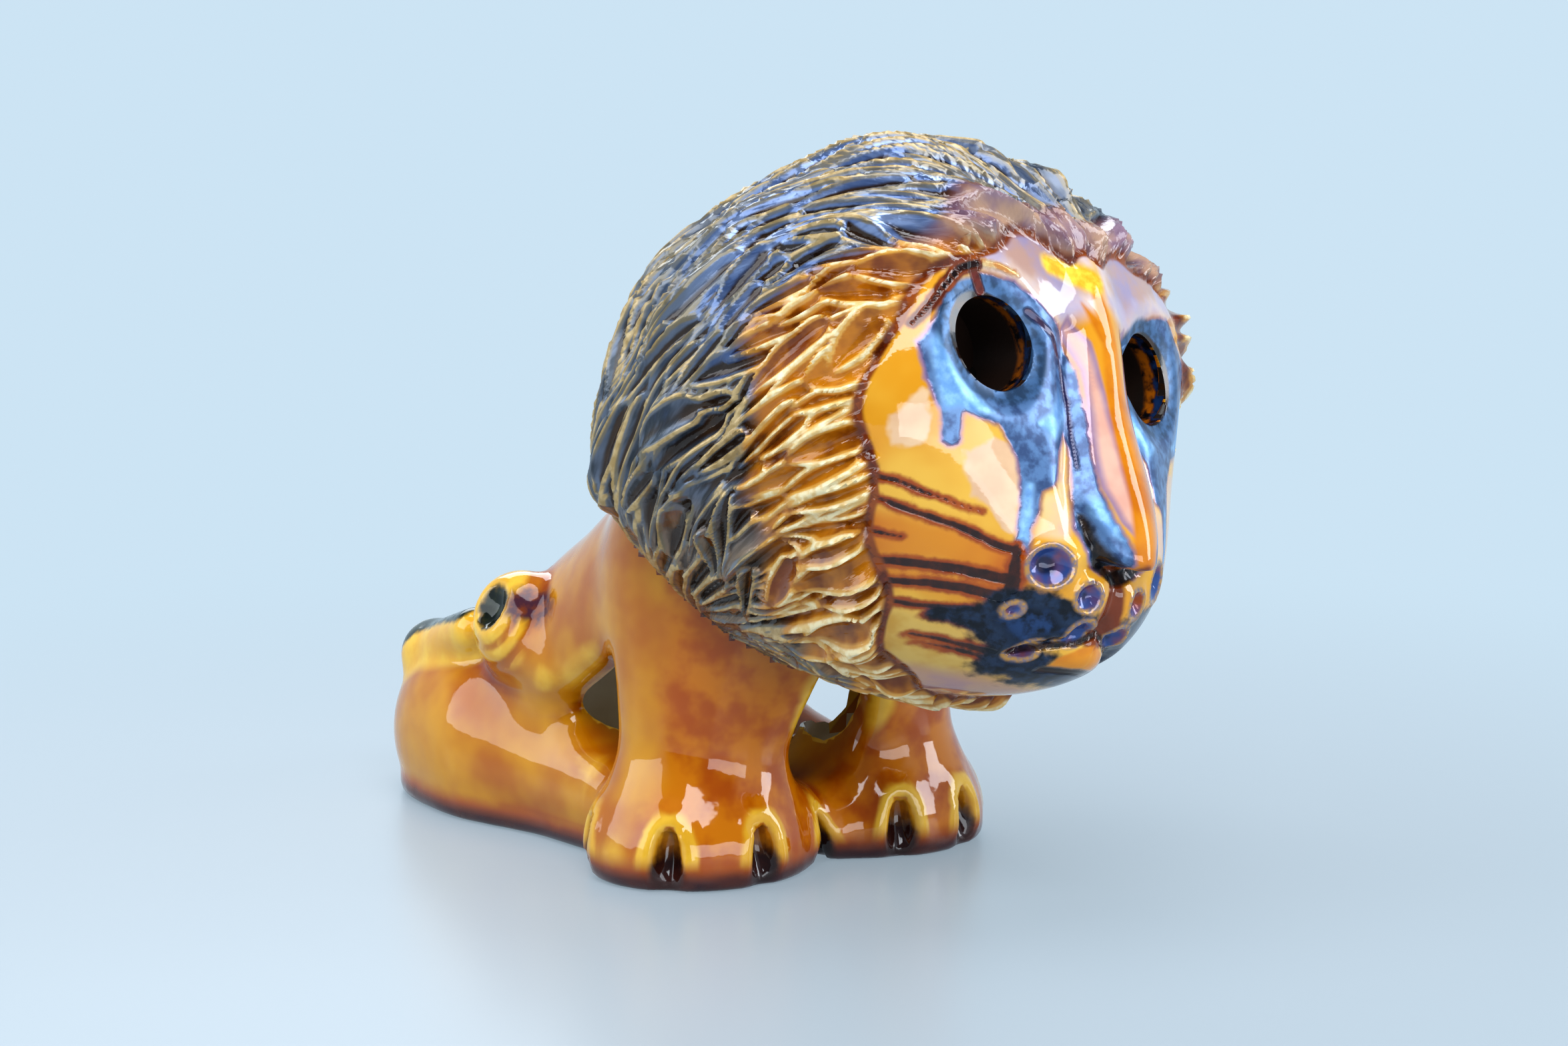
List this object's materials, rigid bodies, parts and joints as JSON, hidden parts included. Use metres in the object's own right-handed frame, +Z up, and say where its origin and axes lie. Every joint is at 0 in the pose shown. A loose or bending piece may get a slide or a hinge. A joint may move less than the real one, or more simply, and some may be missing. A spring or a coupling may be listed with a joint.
{
  "type": "pottery lion figure",
  "caption": "Glazed hollow pottery lion with a big round head, drilled eyes, combed mane, open underside and a tail curled onto its flank; stands on its foot rim.",
  "frame": {"origin": "middle of the figure's box, on the surface that it stands on", "axes": "+Z up, -Y the way the lion faces, +X towards the lion's left side"},
  "size_m": [0.1087, 0.2091, 0.1475],
  "materials": {
    "glazed_body": "glossy amber glaze over fired clay, metallic blue-brown glaze on the mane"
  },
  "bodies": {
    "root": {"lion": "glazed_body"}
  },
  "joints": []
}
